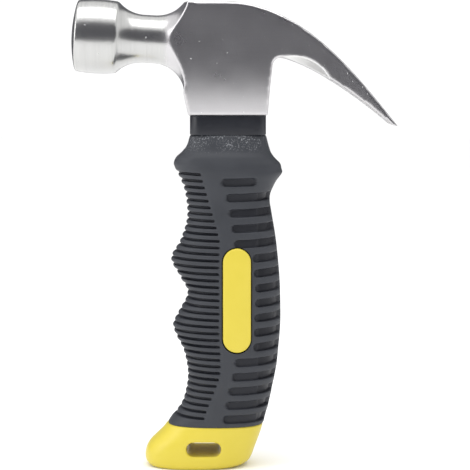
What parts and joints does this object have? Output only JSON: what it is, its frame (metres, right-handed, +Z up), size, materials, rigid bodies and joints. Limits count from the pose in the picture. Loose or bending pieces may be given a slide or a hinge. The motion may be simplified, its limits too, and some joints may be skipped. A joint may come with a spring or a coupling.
{
  "type": "stubby claw hammer",
  "caption": "Short claw hammer with a forged steel head, a ribbed black rubber grip shaped for the fingers, and a yellow plastic butt with a hanging hole.",
  "frame": {"origin": "On the floor the butt stands on, under the middle of the head's length and in the middle plane of the handle", "axes": "+X from the striking face to the claw tips, +Y from one flat cheek to the other, +Z up the handle to the top of the head"},
  "size_m": [0.1135, 0.0266, 0.1625],
  "materials": {
    "forged_steel": "satin ground steel",
    "black_plastic": "smooth moulded plastic",
    "resin": "cast resin",
    "fibreglass": "pultruded bar",
    "yellow_plastic": "semi-gloss moulded plastic",
    "black_rubber": "satin moulded rubber"
  },
  "bodies": {
    "root": {"head": "forged_steel", "eye_cap": "black_plastic", "eye_epoxy": "resin", "core_rod": "fibreglass", "neck_collar": "black_plastic", "handle_jacket": "yellow_plastic", "grip": "black_rubber", "inlay_left": "yellow_plastic", "inlay_right": "yellow_plastic"}
  },
  "joints": []
}
